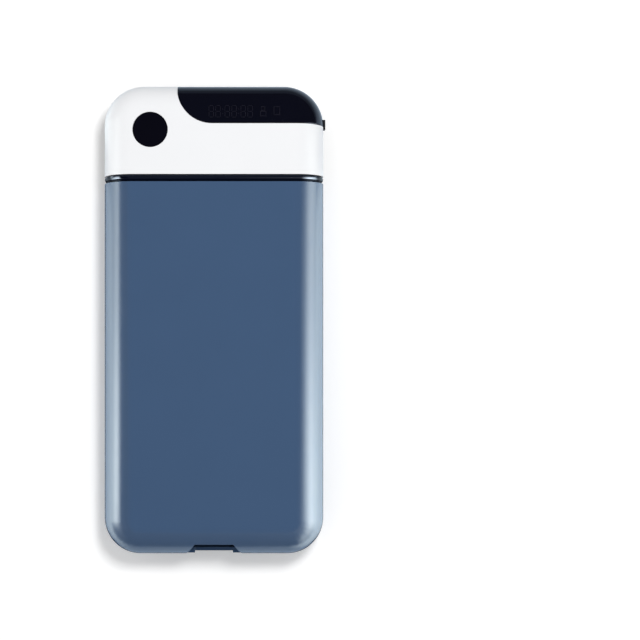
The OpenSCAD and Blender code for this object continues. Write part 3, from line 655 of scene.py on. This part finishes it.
COOL = (0.82, 0.92, 0.9, 1)
PLAIN = (0.92, 1, 0.98, 1)
CARD_AWAY = 0.36
CARD_FOOT = 0.09
CARD_TOP = 0.95
CARD_TAIL = -0.7
FOOT_HEAD = 0.14
LEFT_HEAD, RIGHT_HEAD = 0.19, 0.142
LYING_NEAR, LYING_Z = 0.055, 0.0002

LEFT_CARD = ([(-0.7, 0), (-0.3, 0.5), (-0.21, 2.0), (-0.175, 6), (-0.14, 8.8), (-0.06, 7.4),
              (0.015, 4.7), (0.1, 3.7), (0.2, 3.4)],
             [(0, 0.55), (0.05, 0.66), (0.1, 0.92), (0.14, 1), (0.2, 1), (0.28, 0), (0.95, 0)])
RIGHT_CARD = ([(-0.7, 2.4), (-0.4, 3.4), (-0.29, 5.6), (-0.22, 8.0), (-0.17, 10), (-0.14, 10),
               (-0.06, 7.7), (0.015, 5.4), (0.1, 4.7), (0.2, 4.7)],
              [(0, 0.75), (0.05, 0.83), (0.12, 1), (0.2, 1), (0.26, 0.85), (0.31, 0.58),
               (0.45, 0.24), (0.62, 0.08), (0.95, 0)])
LEFT_GLOW = ([(-0.7, 0), (-0.2, 0), (-0.16, 2.2), (-0.12, 4), (0, 3.2), (0.06, 2.7),
              (0.078, 0)],
             [(-0.36, 1.0), (-0.165, 0.85), (-0.12, 0.7), (-0.085, 0.45), (-0.055, 0)])
LEFT_HEAD_GLOW = ([(0.08, 0), (0.086, 3.4), (0.11, 2.4), (0.15, 0)],
                  [(-0.36, 1.0), (-0.085, 1), (-0.06, 0.3), (-0.055, 0.1)])
RIGHT_GLOW = ([(-0.7, 0.5), (-0.3, 2.8), (-0.2, 4.2), (-0.1, 5.8), (-0.05, 5), (0, 4.4),
               (0.06, 3.8), (0.078, 0)],
              [(0.055, 0.15), (0.085, 0.5), (0.12, 0.72), (0.165, 0.88), (0.36, 1)])
OVERHEAD_Z = 0.55
OVERHEAD_GLOW = ([(-0.4, 1), (-0.15, 0.8), (-0.05, 0)], [(0, 0), (0.12, 0.45), (0.35, 0.5)])


def card(name, corners, levels, axes, colour, through=False):
    """Card that only glossy surfaces show, and that lets light through on request.

    Levels are two curves, one over each of axes, which are multiplied."""
    obj = sheet(name, corners)
    m, ns, ln = new_material(name)
    place = split(ns, ln, coordinate(ns))
    along, across = (ramp(ns, ln, place[axis], curve) for axis, curve in zip(axes, levels))
    glow = emission(ns, ln, colour, times(ns, ln, along, across))
    if through:
        clear = ns.new("ShaderNodeBsdfTransparent")
        clear.inputs["Color"].default_value = PURE_WHITE
        glow = added(ns, ln, glow, clear.outputs["BSDF"])
    surface(ns, ln, glow)
    obj.data.materials.append(m)
    for ray in ("camera", "diffuse", "transmission", "volume_scatter", "shadow"):
        setattr(obj, "visible_" + ray, False)


def upright(name, side, head, levels):
    """Card beside the object, whose foot is cooler and ends sooner at the head."""
    x = side * CARD_AWAY
    for part, colour, z0, z1, y in ((name + "_foot", COOL, 0, CARD_FOOT, FOOT_HEAD),
                                    (name, PLAIN, CARD_FOOT, CARD_TOP, head)):
        card(part, [(x, CARD_TAIL, z0), (x, y, z0), (x, y, z1), (x, CARD_TAIL, z1)],
             levels, "YZ", colour)


def lying(name, side, levels):
    """Card on the floor beside the object, as long as its first curve."""
    near, far, z = side * LYING_NEAR, side * CARD_AWAY, LYING_Z
    tail, head = levels[0][0][0], levels[0][-1][0]
    card(name, [(near, tail, z), (far, tail, z), (far, head, z), (near, head, z)],
         levels, "YX", COOL, through=True)


def overhead(name, levels):
    (tail, head), (near, far) = ((curve[0][0], curve[-1][0]) for curve in levels)
    card(name, [(near, tail, OVERHEAD_Z), (far, tail, OVERHEAD_Z), (far, head, OVERHEAD_Z),
                (near, head, OVERHEAD_Z)], levels, "YX", PURE_WHITE)


upright("left_card", -1, LEFT_HEAD, LEFT_CARD)
upright("right_card", 1, RIGHT_HEAD, RIGHT_CARD)
lying("left_glow", -1, LEFT_GLOW)
lying("left_head_glow", -1, LEFT_HEAD_GLOW)
lying("right_glow", 1, RIGHT_GLOW)
overhead("overhead_glow", OVERHEAD_GLOW)
